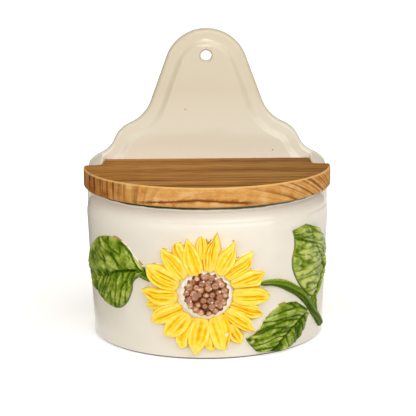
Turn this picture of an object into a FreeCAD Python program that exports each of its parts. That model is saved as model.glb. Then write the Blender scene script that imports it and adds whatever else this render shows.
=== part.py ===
"""Wall-mounted salt box: a half-round stoneware pot with a shaped back plate, a hinged wooden lid, and a
sunflower spray of clay sprigs on its front wall.

Millimetres. X runs to the right, Y to the wall, Z up. The origin is under the middle of the whole box, on
the surface that the base stands on.
"""
import FreeCAD
import Part
import math
import os

V = FreeCAD.Vector
UP = V(0, 0, 1)
RIGHT = V(1, 0, 0)
BACK = V(0, 1, 0)

# Overall sizes
TOTAL_HEIGHT = 180.0
POT_RADIUS = 72.5

# Pot: half-round wall, seen in section, set in from its widest radius
BASE_SET_IN = 3.3
FOOT_BEVEL = 1.2
WIDEST_Z = 76.0
WIDEST_ROUND = 14.0
COLLAR_SET_IN = 1.6
COLLAR_Z = 81.4
COLLAR_ROUND = 7.0
NECK_SET_IN = 5.0
NECK_Z = 86.2
LIP_BEVEL = 0.8
WALL = 5.0
FLOOR = 6.0
FLOOR_BEVEL = 6.0
INNER_SHOULDER_ROUND = 8.0
FOOT_RING_WIDTH = 8.0
FOOT_RING_HEIGHT = 1.5

# Lid board
LID_OVERHANG = 1.5
LID_THICKNESS = 11.4
LID_BOTTOM_Z = 89.6
LID_SEAT_GAP = 0.25
LID_EDGE_BEVEL = 0.8
HORN_ROUND = 2.0
NOTCH_ROUND = 3.8

# Hinge: pins along X through the ears, pressed into the ends of the lid's tongue
PIN_RADIUS = 1.5
PIN_SET = 14.0
PIN_RECESS = 0.4
PIN_TIP = 0.4
EAR_BORE_GAP = 0.2
PIN_BACK = 14.0
HORN_GAP = 1.8
TONGUE_GAP = 0.8
EAR_WIDTH = 9.2
EAR_FRONT_ROUND = 3.2
EAR_NOSE_DROP = 4.2
EAR_NOSE_ROUND = 3.5
EAR_SET_DOWN = 0.3
EAR_INNER_BEVEL = 1.0
EAR_BROW_FACETS = 6

# Back plate: dome, straight flank, hollow, shoulder, neck and brow, as tangent arcs, down to the pot's sides
PLATE_THICKNESS = 7.5
PLATE_GAP = 3.0
PLATE_EDGE_ROUND = 2.4
PLATE_BACK_BEVEL = 1.6
DOME_RADIUS = 25.7
HOLLOW_X = 55.5
HOLLOW_Z = 143.4
SHOULDER_X = 39.8
SHOULDER_Z = 105.5
SHOULDER_RADIUS = 18.4
NECK_ARC_RADIUS = 14.4
BROW_SET_IN = 15.5
BROW_Z = 85.8
BROW_RADIUS = 20.0

# Raised field of the plate, inside a plain border, with a soft step up to it
BORDER_WIDTH = 6.4
FIELD_STEP = 4.2
FIELD_STEP_FACETS = 5
FIELD_RISE = 1.4
FIELD_FOOT_Z = 100.0

# Hanging hole
HOLE_RADIUS = 3.35
HOLE_DROP = 16.5
HOLE_BEVEL = 0.8

# Sunflower: places on the wall are (round, up), the run round the wall and the height, from the front line
FLOWER_Z = 38.9
SEED_HEAD_RADIUS = 12.6
SEED_HEAD_RISE = 1.7
SEED_HEAD_SIDES = 32
SEED_COUNT = 37
SEED_SPACING = 1.9
SEED_RADIUS = 1.45
SEED_SIDES = 6
SEED_RISE = 1.0
GOLDEN_ANGLE = math.radians(137.508)
PETAL_ROOT = 14.6
PETAL_REACH = 36.0
PETAL_WIDTH = 11.0
PETAL_CROWN = 1.9
PETAL_EDGE = 0.9
PETAL_GAP = 0.5
PETAL_DIRECTIONS = (10, 27, 48, 71, 95, 114, 130, 163, 190, 207, 225, 241, 271, 295, 315, 342)
BACK_PETAL_DIRECTIONS = (147, 176.5, 256, 328.5, 356)
BACK_PETAL_SHORTFALL = 1.5
BACK_PETAL_WIDTH = 8.5
BACK_PETAL_CROWN = 1.2
BACK_PETAL_EDGE = 0.6

# Leaves and stems: stations along the middle line, each (round, up, half width on its left, on its right)
LEAF_CROWN = 2.0
LEAF_EDGE = 1.1
LEAF_GROOVE = 0.8
STEM_CROWN = 2.4
STEM_EDGE = 0.7
SPRIG_SINK = 0.9
LEFT_LEAF = ((-41, 48.5, 2, 2.4), (-46.5, 48.2, 6.5, 9.5), (-53, 47.5, 17, 16), (-63, 45.8, 21.3, 19.6),
             (-75, 43.5, 17.5, 20.3), (-85, 42, 12, 16.5), (-92, 41, 7.5, 11), (-97, 40, 1.5, 2))
UPPER_LEAF = ((78.3, 27, 2.2, 2.2), (77.8, 32, 10, 8.5), (77, 39, 16, 16), (76, 48, 20, 22.5),
              (73, 58, 17, 21.5), (68.5, 66.5, 12, 14), (63, 71.5, 3, 4))
LOWER_LEAF = ((72.5, 20, 1.8, 1.8), (68, 18.3, 7, 5.5), (60, 16.2, 10.5, 10.5), (50, 14.5, 12.3, 13.5),
              (40, 11.8, 9.8, 13), (32, 9.6, 7.4, 7.6), (25, 9.4, 1.2, 1.2))
LEFT_STALK = ((-33, 45.6, 1.6, 1.6), (-37, 46.8, 2, 2), (-42, 48.4, 2.2, 2.2))
RIGHT_STEM = ((30.5, 43.3, 1.5, 1.5), (37.5, 43.2, 1.8, 1.8), (44, 41.8, 2.3, 2.3), (51, 38.7, 2.7, 2.7),
              (59.5, 33.6, 2.8, 2.8), (68, 26.7, 2.8, 2.8), (77, 19, 3, 3), (88, 10.6, 3.1, 3.1),
              (93, 6.6, 2.2, 2.2))
UPPER_STALK = ((80.5, 17, 1.7, 1.7), (80, 22, 1.5, 1.5), (78.2, 28, 1.7, 1.7))

# Places that follow from the sizes above
TOUCH = 1e-6
BASE_RADIUS = POT_RADIUS - BASE_SET_IN
COLLAR_RADIUS = POT_RADIUS - COLLAR_SET_IN
NECK_RADIUS = POT_RADIUS - NECK_SET_IN
LID_RADIUS = POT_RADIUS + LID_OVERHANG
BROW_X = POT_RADIUS - BROW_SET_IN
RIM_Z = LID_BOTTOM_Z - LID_SEAT_GAP
PIN_Z = LID_BOTTOM_Z + LID_THICKNESS / 2
KNUCKLE_RADIUS = LID_THICKNESS / 2
BORDER_RUN = PIN_BACK + KNUCKLE_RADIUS + PLATE_GAP
BACK_RUN = BORDER_RUN + PLATE_THICKNESS
AXIS_Y = (LID_RADIUS - BACK_RUN) / 2
PIN_Y = AXIS_Y + PIN_BACK
BORDER_Y = AXIS_Y + BORDER_RUN
BACK_Y = AXIS_Y + BACK_RUN
MOUTH_RADIUS = NECK_RADIUS - WALL
EAR_INNER_X = POT_RADIUS - EAR_WIDTH
TONGUE_HALF = EAR_INNER_X - TONGUE_GAP
WALL_SLOPE = (POT_RADIUS - BASE_RADIUS) / WIDEST_Z
HOLE_Z = TOTAL_HEIGHT - HOLE_DROP
BACK_PETAL_REACH = PETAL_REACH - BACK_PETAL_SHORTFALL


def rounded_wire(corners, place):
    """Closed wire through corners (a, b, radius), with a tangent arc at each corner that has a radius."""
    edges = []
    ends = []
    for index, (a, b, radius) in enumerate(corners):
        here = V(a, b, 0)
        before = V(*corners[index - 1][:2], 0) - here
        after = V(*corners[(index + 1) % len(corners)][:2], 0) - here
        if radius == 0:
            ends.append((here, here))
            continue
        before.normalize()
        after.normalize()
        half = before.getAngle(after) / 2
        middle = before + after
        middle.normalize()
        start = here + before * (radius / math.tan(half))
        finish = here + after * (radius / math.tan(half))
        nearest = here + middle * (radius / math.sin(half) - radius)
        edges.append(Part.Arc(place(start), place(nearest), place(finish)).toShape())
        ends.append((start, finish))
    for (_, leave), (reach, _) in zip(ends, ends[1:] + ends[:1]):
        if leave.distanceToPoint(reach) > TOUCH:
            edges.append(Part.LineSegment(place(leave), place(reach)).toShape())
    return Part.Wire(Part.__sortEdges__(edges))


def in_section(point):
    """A (radius, height) point of a wall section, in the plane through the half-round's axis."""
    return V(point.x, AXIS_Y, point.y)


def in_plan(point):
    """A (right, back) point of a plan, measured from the half-round's axis."""
    return V(point.x, AXIS_Y + point.y, 0)


def in_side(point):
    """A (back, height) point of a side view, measured from the half-round's axis."""
    return V(0, AXIS_Y + point.x, point.y)


def in_front(point):
    """A (right, height) point of a front view, in the plane of the plate's rounded front edge."""
    return V(point.x, BORDER_Y + PLATE_EDGE_ROUND, point.y)


def half_round(corners, run_back):
    """Solid with the given half section: turned through a half circle in front, drawn straight behind."""
    face = Part.Face(rounded_wire(corners, in_section))
    front = face.revolve(V(0, AXIS_Y, 0), UP, -180)
    right = face.extrude(BACK * run_back)
    left = right.mirror(V(0, 0, 0), RIGHT)
    return front.multiFuse([right, left]).removeSplitter()


def pot_outside():
    bevel_radius = BASE_RADIUS + WALL_SLOPE * FOOT_BEVEL
    return half_round(((0, 0, 0), (BASE_RADIUS - FOOT_BEVEL, 0, 0), (bevel_radius, FOOT_BEVEL, 0),
                       (POT_RADIUS, WIDEST_Z, WIDEST_ROUND),
                       (COLLAR_RADIUS, COLLAR_Z, COLLAR_ROUND), (NECK_RADIUS, NECK_Z, 0),
                       (NECK_RADIUS, RIM_Z - LIP_BEVEL, 0), (NECK_RADIUS - LIP_BEVEL, RIM_Z, 0),
                       (0, RIM_Z, 0)), BACK_RUN)


def pot_cavity():
    """The room for the salt, open at the top through the mouth."""
    bevel_z = FLOOR + FLOOR_BEVEL
    bevel_radius = BASE_RADIUS + WALL_SLOPE * bevel_z - WALL
    above = RIM_Z + LID_SEAT_GAP
    return half_round(((0, FLOOR, 0), (bevel_radius - FLOOR_BEVEL, FLOOR, 0), (bevel_radius, bevel_z, 0),
                       (POT_RADIUS - WALL, WIDEST_Z, INNER_SHOULDER_ROUND), (MOUTH_RADIUS, NECK_Z, 0),
                       (MOUTH_RADIUS, above, 0), (0, above, 0)), BORDER_RUN)


def foot_recess():
    """Shallow hollow under the base, which leaves a foot ring to stand on."""
    radius = BASE_RADIUS - FOOT_RING_WIDTH
    return half_round(((0, 0, 0), (radius, 0, 0), (radius, FOOT_RING_HEIGHT, 0), (0, FOOT_RING_HEIGHT, 0)),
                      BACK_RUN - FOOT_RING_WIDTH)


def arc_between(centre, radius, start, finish, y):
    """Arc of under a half circle round a centre in the plate's (x, z) plane."""
    toward = (start - centre).normalize() + (finish - centre).normalize()
    middle = centre + toward.normalize() * radius
    return Part.Arc(*(V(p.x, y, p.y) for p in (start, middle, finish))).toShape()


def plate_side(inset, foot_z, y):
    """Right-hand edge of the plate's outline, moved in by inset, from the top of the dome to foot_z."""
    dome = V(0, TOTAL_HEIGHT - DOME_RADIUS, 0)
    hollow = V(HOLLOW_X, HOLLOW_Z, 0)
    shoulder = V(SHOULDER_X, SHOULDER_Z, 0)
    brow = V(BROW_X, BROW_Z, 0)

    hollow_radius = (hollow - shoulder).Length - SHOULDER_RADIUS
    across = hollow - dome
    lean = math.atan2(across.y, across.x) + math.acos((DOME_RADIUS + hollow_radius) / across.Length)
    outward = V(math.cos(lean), math.sin(lean), 0)

    span = brow - shoulder
    near = SHOULDER_RADIUS + NECK_ARC_RADIUS
    far = BROW_RADIUS + NECK_ARC_RADIUS
    foot = (near ** 2 - far ** 2 + span.Length ** 2) / (2 * span.Length)
    span.normalize()
    neck = shoulder + span * foot + V(-span.y, span.x, 0) * math.sqrt(near ** 2 - foot ** 2)

    dome_radius = DOME_RADIUS - inset
    shoulder_radius = SHOULDER_RADIUS - inset
    brow_radius = BROW_RADIUS - inset
    hollow_radius += inset
    neck_radius = NECK_ARC_RADIUS + inset
    top = dome + V(0, dome_radius, 0)
    flank_top = dome + outward * dome_radius
    flank_foot = hollow - outward * hollow_radius
    to_shoulder = shoulder + (hollow - shoulder).normalize() * shoulder_radius
    to_neck = shoulder + (neck - shoulder).normalize() * shoulder_radius
    edges = [arc_between(dome, dome_radius, top, flank_top, y),
             Part.LineSegment(V(flank_top.x, y, flank_top.y), V(flank_foot.x, y, flank_foot.y)).toShape(),
             arc_between(hollow, hollow_radius, flank_foot, to_shoulder, y),
             arc_between(shoulder, shoulder_radius, to_shoulder, to_neck, y)]
    to_brow = brow + (neck - brow).normalize() * brow_radius
    if foot_z < to_brow.y:
        side_z = brow.y + math.sqrt(brow_radius ** 2 - (BROW_SET_IN - inset) ** 2)
        brow_side = V(POT_RADIUS - inset, side_z, 0)
        edges.append(arc_between(neck, neck_radius, to_neck, to_brow, y))
        edges.append(arc_between(brow, brow_radius, to_brow, brow_side, y))
        end = V(brow_side.x, foot_z, 0)
        edges.append(Part.LineSegment(V(brow_side.x, y, brow_side.y), V(end.x, y, end.y)).toShape())
    else:
        end = V(neck.x - math.sqrt(neck_radius ** 2 - (neck.y - foot_z) ** 2), foot_z, 0)
        edges.append(arc_between(neck, neck_radius, to_neck, end, y))
    return edges, V(end.x, y, foot_z)


def plate_outline(inset, foot_z, y):
    """The plate's whole outline at depth y: its right side, its mirror image and a straight foot."""
    right, end = plate_side(inset, foot_z, y)
    left = [edge.mirror(V(0, 0, 0), RIGHT) for edge in right]
    foot = Part.LineSegment(end, V(-end.x, end.y, end.z)).toShape()
    return Part.Wire(Part.__sortEdges__(right + left + [foot]))


def back_plate():
    """Shaped plate with a rounded front edge, a raised field inside a plain border and the hanging hole."""
    slab = Part.Face(plate_outline(0, WIDEST_Z, BORDER_Y)).extrude(BACK * PLATE_THICKNESS)
    front_edges = [edge for edge in slab.Edges if edge.BoundBox.YMax < BORDER_Y + TOUCH
                   and edge.BoundBox.ZMax > WIDEST_Z + TOUCH]
    slab = slab.makeFillet(PLATE_EDGE_ROUND, front_edges)
    back_edges = [edge for edge in slab.Edges if edge.BoundBox.YMin > BACK_Y - TOUCH
                  and edge.BoundBox.ZMax > WIDEST_Z + TOUCH]
    slab = slab.makeChamfer(PLATE_BACK_BEVEL, back_edges)
    rings = []
    for facet in range(FIELD_STEP_FACETS + 1):
        part = facet / FIELD_STEP_FACETS
        rise = FIELD_RISE * (1 - math.cos(math.pi * part)) / 2
        rings.append(plate_outline(BORDER_WIDTH + FIELD_STEP * part, FIELD_FOOT_Z, BORDER_Y - rise))
    field = Part.makeLoft(rings, True, True)
    face_y = BORDER_Y - FIELD_RISE
    hole = Part.makeCylinder(HOLE_RADIUS, FIELD_RISE + PLATE_THICKNESS, V(0, face_y, HOLE_Z), BACK)
    bevel = Part.makeCone(HOLE_RADIUS + HOLE_BEVEL, HOLE_RADIUS, HOLE_BEVEL, V(0, face_y, HOLE_Z), BACK)
    return slab.fuse(field).cut(hole).cut(bevel)


def brow_height(x):
    """Height of the plate's brow at a distance to the side."""
    return BROW_Z + math.sqrt(BROW_RADIUS ** 2 - (x - BROW_X) ** 2)


def ear():
    """Right-hand hinge ear: the plate's brow drawn forward, sloping down to a rounded nose beside the lid."""
    back = BORDER_RUN + PLATE_EDGE_ROUND
    brow_start = EAR_INNER_X + EAR_INNER_BEVEL
    brow_line = []
    for facet in range(EAR_BROW_FACETS + 1):
        x = brow_start + (POT_RADIUS - brow_start) * facet / EAR_BROW_FACETS
        brow_line.append((x, brow_height(x) - EAR_SET_DOWN, 0))
    top_z = brow_line[0][1]
    nose_z = top_z - EAR_NOSE_DROP
    front = rounded_wire([(EAR_INNER_X, WIDEST_Z, 0), (EAR_INNER_X, top_z - EAR_INNER_BEVEL, 0), *brow_line,
                          (POT_RADIUS, WIDEST_Z, 0)], in_front)
    cheek = Part.Face(front).extrude(V(0, HORN_GAP - back, -EAR_NOSE_DROP))
    plan = Part.Face(rounded_wire(((EAR_INNER_X, HORN_GAP, EAR_FRONT_ROUND),
                                   (POT_RADIUS, HORN_GAP, EAR_FRONT_ROUND),
                                   (POT_RADIUS, back, 0), (EAR_INNER_X, back, 0)), in_plan))
    side = Part.Face(rounded_wire(((HORN_GAP, WIDEST_Z, 0), (HORN_GAP, nose_z, EAR_NOSE_ROUND),
                                   (back, top_z, 0), (back, WIDEST_Z, 0)), in_side))
    return cheek.common(plan.extrude(UP * TOTAL_HEIGHT)).common(side.extrude(RIGHT * POT_RADIUS))


def pot_body(outside):
    """The whole casting: pot, plate and ears in one, hollowed, drilled for the pins and recessed below."""
    right_ear = ear()
    left_ear = right_ear.mirror(V(0, 0, 0), RIGHT)
    body = outside.multiFuse([back_plate(), right_ear, left_ear])
    bore = Part.makeCylinder(PIN_RADIUS + EAR_BORE_GAP, 2 * POT_RADIUS, V(-POT_RADIUS, PIN_Y, PIN_Z), RIGHT)
    for tool in (pot_cavity(), foot_recess(), bore):
        body = body.cut(tool)
    return body.removeSplitter()


def lid_board():
    """Half-round board whose tongue is square behind and rounded about the pins below."""
    disc = Part.makeCylinder(LID_RADIUS, LID_THICKNESS, V(0, AXIS_Y, LID_BOTTOM_Z))
    front = Part.makeBox(2 * LID_RADIUS, LID_RADIUS, LID_THICKNESS,
                         V(-LID_RADIUS, AXIS_Y - LID_RADIUS, LID_BOTTOM_Z))
    board = disc.common(front)
    corners = [edge for edge in board.Edges if edge.BoundBox.ZLength > LID_THICKNESS - TOUCH]
    board = board.makeFillet(HORN_ROUND, corners)
    round_edges = [edge for edge in board.Edges if edge.BoundBox.ZLength < TOUCH
                   and edge.BoundBox.YMin < AXIS_Y - TOUCH]
    board = board.makeChamfer(LID_EDGE_BEVEL, round_edges)
    top = LID_BOTTOM_Z + LID_THICKNESS
    rear = PIN_BACK + KNUCKLE_RADIUS
    section = rounded_wire(((-PIN_BACK, LID_BOTTOM_Z, 0), (-PIN_BACK, top, 0),
                            (rear - LID_EDGE_BEVEL, top, 0), (rear, top - LID_EDGE_BEVEL, 0),
                            (rear, LID_BOTTOM_Z, KNUCKLE_RADIUS)), in_side)
    tongue = Part.Face(section).extrude(RIGHT * 2 * TONGUE_HALF).translated(RIGHT * -TONGUE_HALF)
    board = board.fuse(tongue)
    for side in (-1, 1):
        corner = side * (TONGUE_HALF + NOTCH_ROUND)
        block = Part.makeBox(NOTCH_ROUND, NOTCH_ROUND, LID_THICKNESS,
                             V(min(side * TONGUE_HALF, corner), AXIS_Y, LID_BOTTOM_Z))
        hollow = Part.makeCylinder(NOTCH_ROUND, LID_THICKNESS, V(corner, AXIS_Y + NOTCH_ROUND, LID_BOTTOM_Z))
        board = board.fuse(block.cut(hollow))
        hole_x = TONGUE_HALF if side > 0 else -TONGUE_HALF
        board = board.cut(Part.makeCylinder(PIN_RADIUS, PIN_SET, V(hole_x, PIN_Y, PIN_Z), RIGHT * -side))
    return board.removeSplitter()


def hinge_pin():
    """Right-hand pin: a plain rod with broken edges, from the ear's outer side into the tongue."""
    inner = TONGUE_HALF - PIN_SET
    outer = POT_RADIUS - PIN_RECESS
    rod = Part.makeCylinder(PIN_RADIUS, outer - inner, V(inner, PIN_Y, PIN_Z), RIGHT)
    rims = [edge for edge in rod.Edges if edge.BoundBox.XLength < TOUCH]
    return rod.makeChamfer(PIN_TIP, rims)


def wall_place(around, up):
    """Point of the front wall, its outward normal, and the directions round the wall and up it."""
    radius = BASE_RADIUS + WALL_SLOPE * up
    turn = around / (BASE_RADIUS + WALL_SLOPE * FLOWER_Z)
    lean = math.atan(WALL_SLOPE)
    point = V(radius * math.sin(turn), AXIS_Y - radius * math.cos(turn), up)
    normal = V(math.sin(turn) * math.cos(lean), -math.cos(turn) * math.cos(lean), -math.sin(lean))
    across = V(math.cos(turn), math.sin(turn), 0)
    rise = V(math.sin(turn) * math.sin(lean), -math.cos(turn) * math.sin(lean), math.cos(lean))
    return point, normal, across, rise


def sprig_section(around, up, heading, profile):
    """Closed section square to a heading on the wall; profile holds (sideways, above the wall) points."""
    point, normal, across, rise = wall_place(around, up)
    radius = BASE_RADIUS + WALL_SLOPE * up
    sideways = across * math.cos(heading) - rise * math.sin(heading)
    corners = []
    for side, height in profile:
        level = side * math.cos(heading)
        drop = math.sqrt(radius ** 2 - level ** 2) - radius
        corners.append(point + sideways * side + normal * (height + drop))
    return corners


def flat_face(*corners):
    """Flat face through corners in order."""
    return Part.Face(Part.makePolygon(list(corners) + [corners[0]]))


def skinned(sections):
    """Solid with flat facets between sections that have the same number of corners."""
    faces = [flat_face(*sections[0]), flat_face(*sections[-1])]
    for near, far in zip(sections, sections[1:]):
        for index in range(len(near)):
            after = (index + 1) % len(near)
            faces.append(flat_face(near[index], near[after], far[index]))
            faces.append(flat_face(near[after], far[after], far[index]))
    solid = Part.makeSolid(Part.makeShell(faces))
    if solid.Volume < 0:
        solid.reverse()
    return solid


def seated(sections, outside, neighbours=()):
    """Sprig through the sections, trimmed where it meets the wall and the sprigs laid before it."""
    solid = skinned(sections).cut(outside)
    for other in neighbours:
        if solid.BoundBox.intersect(other.BoundBox):
            solid = solid.cut(other)
    return max(solid.Solids, key=lambda piece: piece.Volume)


def petal_profile(left, right, crown, edge):
    """Petal section: low edges, two ridges and a crease along the middle."""
    crease = (crown + edge) / 2
    return ((-left, -SPRIG_SINK), (-left, edge), (-left / 2, crown), (0, crease), (right / 2, crown),
            (right, edge), (right, -SPRIG_SINK))


def petal_swell(part):
    """Share of the full width at a share of the petal's length, from the root to the pointed tip."""
    return max(math.sin(math.pi * (0.2 + 0.8 * part ** 1.25)), 0.0) ** 0.85


def petal_room(direction, out):
    """Half widths free to the left and right of a full petal, up to half way to its neighbours."""
    order = sorted((other - direction) % 360 for other in PETAL_DIRECTIONS)
    to_right = math.radians(order[1]) / 2
    to_left = math.radians(360 - order[-1]) / 2
    return out * math.tan(to_left) - PETAL_GAP / 2, out * math.tan(to_right) - PETAL_GAP / 2


def petal_sides(direction, out):
    """Left and right half widths of a full petal at a distance from the flower's middle."""
    part = min(max((out - PETAL_ROOT) / (PETAL_REACH - PETAL_ROOT), 0), 1)
    own = PETAL_WIDTH / 2 * petal_swell(part)
    left, right = petal_room(direction, out)
    return min(own, left), min(own, right)


def back_petal_sides(direction, out):
    """Half widths of a small petal: its own, or what the full petals on each side leave free."""
    first = PETAL_REACH - BACK_PETAL_REACH
    part = min(max((out + first - PETAL_ROOT) / (PETAL_REACH - PETAL_ROOT), 0), 1)
    own = BACK_PETAL_WIDTH / 2 * petal_swell(part)
    free = []
    for sign in (-1, 1):
        gap = min((sign * (other - direction)) % 360 for other in PETAL_DIRECTIONS)
        neighbour = (direction + sign * gap) % 360
        turn = math.radians(gap)
        side = 0.0
        for _ in range(4):
            along = out * math.cos(turn) + side * math.sin(turn)
            taken = petal_sides(neighbour, along)[1 if sign < 0 else 0]
            side = (out * math.sin(turn) - taken - PETAL_GAP) / math.cos(turn)
        free.append(min(own, side))
    return free


def petal(direction, stations, sides, crown, edge, outside):
    """One petal, laid straight out from the flower's middle through the given distances."""
    heading = math.radians(direction)
    sections = []
    for out in stations:
        left, right = sides(direction, out)
        height = min(1.0, 0.45 + 0.5 * (left + right) / PETAL_WIDTH)
        profile = petal_profile(left, right, crown * height, edge * height)
        around = out * math.sin(heading)
        up = FLOWER_Z + out * math.cos(heading)
        sections.append(sprig_section(around, up, heading, profile))
    return seated(sections, outside)


def full_petal(direction, outside):
    length = PETAL_REACH - PETAL_ROOT
    stations = [PETAL_ROOT + length * part for part in (0, 0.15, 0.32, 0.5, 0.68, 0.84, 0.97)]
    return petal(direction, stations, petal_sides, PETAL_CROWN, PETAL_EDGE, outside)


def back_petal(direction, outside):
    """Small petal that starts where the full petals beside it leave room for it."""
    least = PETAL_GAP
    steps = [PETAL_ROOT + (BACK_PETAL_REACH - PETAL_ROOT) * step / 40 for step in range(40)]
    open_steps = [out for out in steps if min(back_petal_sides(direction, out)) > least]
    first, last = open_steps[0], open_steps[-1]
    stations = [first + (last - first) * part for part in (0, 0.25, 0.5, 0.75, 1)]
    return petal(direction, stations, back_petal_sides, BACK_PETAL_CROWN, BACK_PETAL_EDGE, outside)


def seed_head(outside):
    """Disc with a flat top square to the wall, set with tapered studs for seeds in a spiral."""
    point, normal, across, rise = wall_place(0, FLOWER_Z)

    def stud(out, turn, rings, sides):
        """Tapered stud: rings are (radius, height above the wall at the flower's middle)."""
        middle = point + (across * math.sin(turn) + rise * math.cos(turn)) * out
        turns = [2 * math.pi * side / sides for side in range(sides)]
        outward = [across * math.cos(angle) + rise * math.sin(angle) for angle in turns]
        return skinned([[middle + normal * height + way * radius for way in outward]
                        for radius, height in rings])

    fall = BASE_RADIUS - math.sqrt(BASE_RADIUS ** 2 - SEED_HEAD_RADIUS ** 2)
    disc_rings = ((SEED_HEAD_RADIUS, -fall - SPRIG_SINK), (SEED_HEAD_RADIUS, SEED_HEAD_RISE))
    disc = stud(0, 0, disc_rings, SEED_HEAD_SIDES)
    rings = ((SEED_RADIUS, SEED_HEAD_RISE / 2), (SEED_RADIUS / 2, SEED_HEAD_RISE + SEED_RISE))
    seeds = []
    for index in range(SEED_COUNT):
        seeds.append(stud(SEED_SPACING * math.sqrt(index + 0.5), index * GOLDEN_ANGLE, rings, SEED_SIDES))
    return disc.multiFuse(seeds).cut(outside)


def headings(stations):
    """Direction of the middle line at each station, clockwise from straight up the wall."""
    turns = []
    last = len(stations) - 1
    for index in range(len(stations)):
        before = stations[max(index - 1, 0)]
        after = stations[min(index + 1, last)]
        turns.append(math.atan2(after[0] - before[0], after[1] - before[1]))
    return turns


def leaf(stations, outside, neighbours):
    """Leaf with a swell on each side of a groove along its midrib."""
    sections = []
    for (around, up, left, right), heading in zip(stations, headings(stations)):
        middle = LEAF_CROWN - LEAF_GROOVE
        profile = ((-left, -SPRIG_SINK), (-left, LEAF_EDGE), (-left / 2, LEAF_CROWN), (0, middle),
                   (right / 2, LEAF_CROWN), (right, LEAF_EDGE), (right, -SPRIG_SINK))
        sections.append(sprig_section(around, up, heading, profile))
    return seated(sections, outside, neighbours)


def stem(stations, outside, neighbours):
    """Rounded stem along the wall."""
    sections = []
    for (around, up, left, right), heading in zip(stations, headings(stations)):
        profile = ((-left, -SPRIG_SINK), (-left, STEM_EDGE), (-left / 2, STEM_CROWN), (right / 2, STEM_CROWN),
                   (right, STEM_EDGE), (right, -SPRIG_SINK))
        sections.append(sprig_section(around, up, heading, profile))
    return seated(sections, outside, neighbours)


outside = pot_outside()
pieces = {"pot_body": pot_body(outside), "lid_board": lid_board()}
right_pin = hinge_pin()
pieces["hinge_pin_right"] = right_pin
pieces["hinge_pin_left"] = right_pin.mirror(V(0, 0, 0), RIGHT)

pieces["seed_head"] = seed_head(outside)
petals = []
for number, direction in enumerate(PETAL_DIRECTIONS, start=1):
    pieces[f"petal_{number:02d}"] = full_petal(direction, outside)
    petals.append(pieces[f"petal_{number:02d}"])
for number, direction in enumerate(BACK_PETAL_DIRECTIONS, start=1):
    pieces[f"back_petal_{number}"] = back_petal(direction, outside)
    petals.append(pieces[f"back_petal_{number}"])

pieces["stem_right"] = stem(RIGHT_STEM, outside, petals)
pieces["leaf_left"] = leaf(LEFT_LEAF, outside, petals)
pieces["stalk_left"] = stem(LEFT_STALK, outside, petals + [pieces["leaf_left"]])
pieces["leaf_lower_right"] = leaf(LOWER_LEAF, outside, petals + [pieces["stem_right"]])
laid = petals + [pieces["stem_right"], pieces["leaf_lower_right"]]
pieces["leaf_upper_right"] = leaf(UPPER_LEAF, outside, laid)
pieces["stalk_upper_right"] = stem(UPPER_STALK, outside, [pieces["stem_right"], pieces["leaf_upper_right"]])

os.makedirs("parts", exist_ok=True)
for name, shape in pieces.items():
    shape.exportStep(f"parts/{name}.step")
    state = "valid" if shape.isValid() else "not valid"
    print(name, len(shape.Solids), "solids", round(shape.Volume, 1), "mm3", state)
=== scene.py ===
"""Looks of a wall-mounted salt box: a stoneware pot with a sunflower spray in relief, and an oak lid."""
import bmesh
import bpy
import math
import numpy as np
from mathutils import Matrix, Vector, noise


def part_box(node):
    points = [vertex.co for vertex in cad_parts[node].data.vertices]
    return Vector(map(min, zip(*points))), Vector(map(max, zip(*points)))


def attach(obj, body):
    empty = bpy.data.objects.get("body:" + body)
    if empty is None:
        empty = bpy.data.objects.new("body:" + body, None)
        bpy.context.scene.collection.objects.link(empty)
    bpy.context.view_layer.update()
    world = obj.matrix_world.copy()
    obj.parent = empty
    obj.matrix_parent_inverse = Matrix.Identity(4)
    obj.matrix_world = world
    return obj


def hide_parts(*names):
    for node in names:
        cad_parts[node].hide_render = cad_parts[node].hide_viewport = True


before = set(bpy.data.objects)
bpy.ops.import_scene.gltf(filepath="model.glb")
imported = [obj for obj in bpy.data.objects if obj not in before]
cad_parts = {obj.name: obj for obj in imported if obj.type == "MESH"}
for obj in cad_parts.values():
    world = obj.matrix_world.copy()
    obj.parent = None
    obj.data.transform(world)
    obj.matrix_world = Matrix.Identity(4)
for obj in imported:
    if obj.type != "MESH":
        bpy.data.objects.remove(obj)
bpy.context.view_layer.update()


# Pot body
# Half-round stoneware pot cast in one with its back plate and hinge ears, dipped in a cream tin glaze and
# fired. The lip under the lid is banded with green underglaze paint. Named sizes are in millimetres.
MM = 0.001
LIP_BAND = 2.5
LIP_WOBBLE = 0.5
BAND_WAVE = 9.0
GLAZE_CLOUD = 30.0
GLAZE_WAVE = 22.0
GLAZE_RIPPLE = 1.0
FOOT_DARK_FULL = 0.7
FOOT_DARK_END = 1.3
SPECK_SPACING = 13.0
PLATE_SPECKS = ((-13.0, 131.0), (40.2, 105.5))
SPECK_RADIUS = 0.5
SPECK_BLUR = 0.2
PLATE_FADE = 45.0
PLATE_BLEND = 8.0
STEP_CRISPNESS = 1.6
GROOVE_Z = 79.3
GROOVE_HALF = 1.6
GROOVE_DEPTH = 0.22
lid_low, lid_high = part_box("lid_board")
LID_RADIUS = (lid_high.x - lid_low.x) / 2
AXIS_Y = lid_low.y + LID_RADIUS


def colour(code):
    """Linear colour of an sRGB hex value."""
    parts = [int(code[place:place + 2], 16) / 255 for place in (1, 3, 5)]
    linear = [part / 12.92 if part <= 0.04045 else ((part + 0.055) / 1.055) ** 2.4 for part in parts]
    return (*linear, 1.0)


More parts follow.
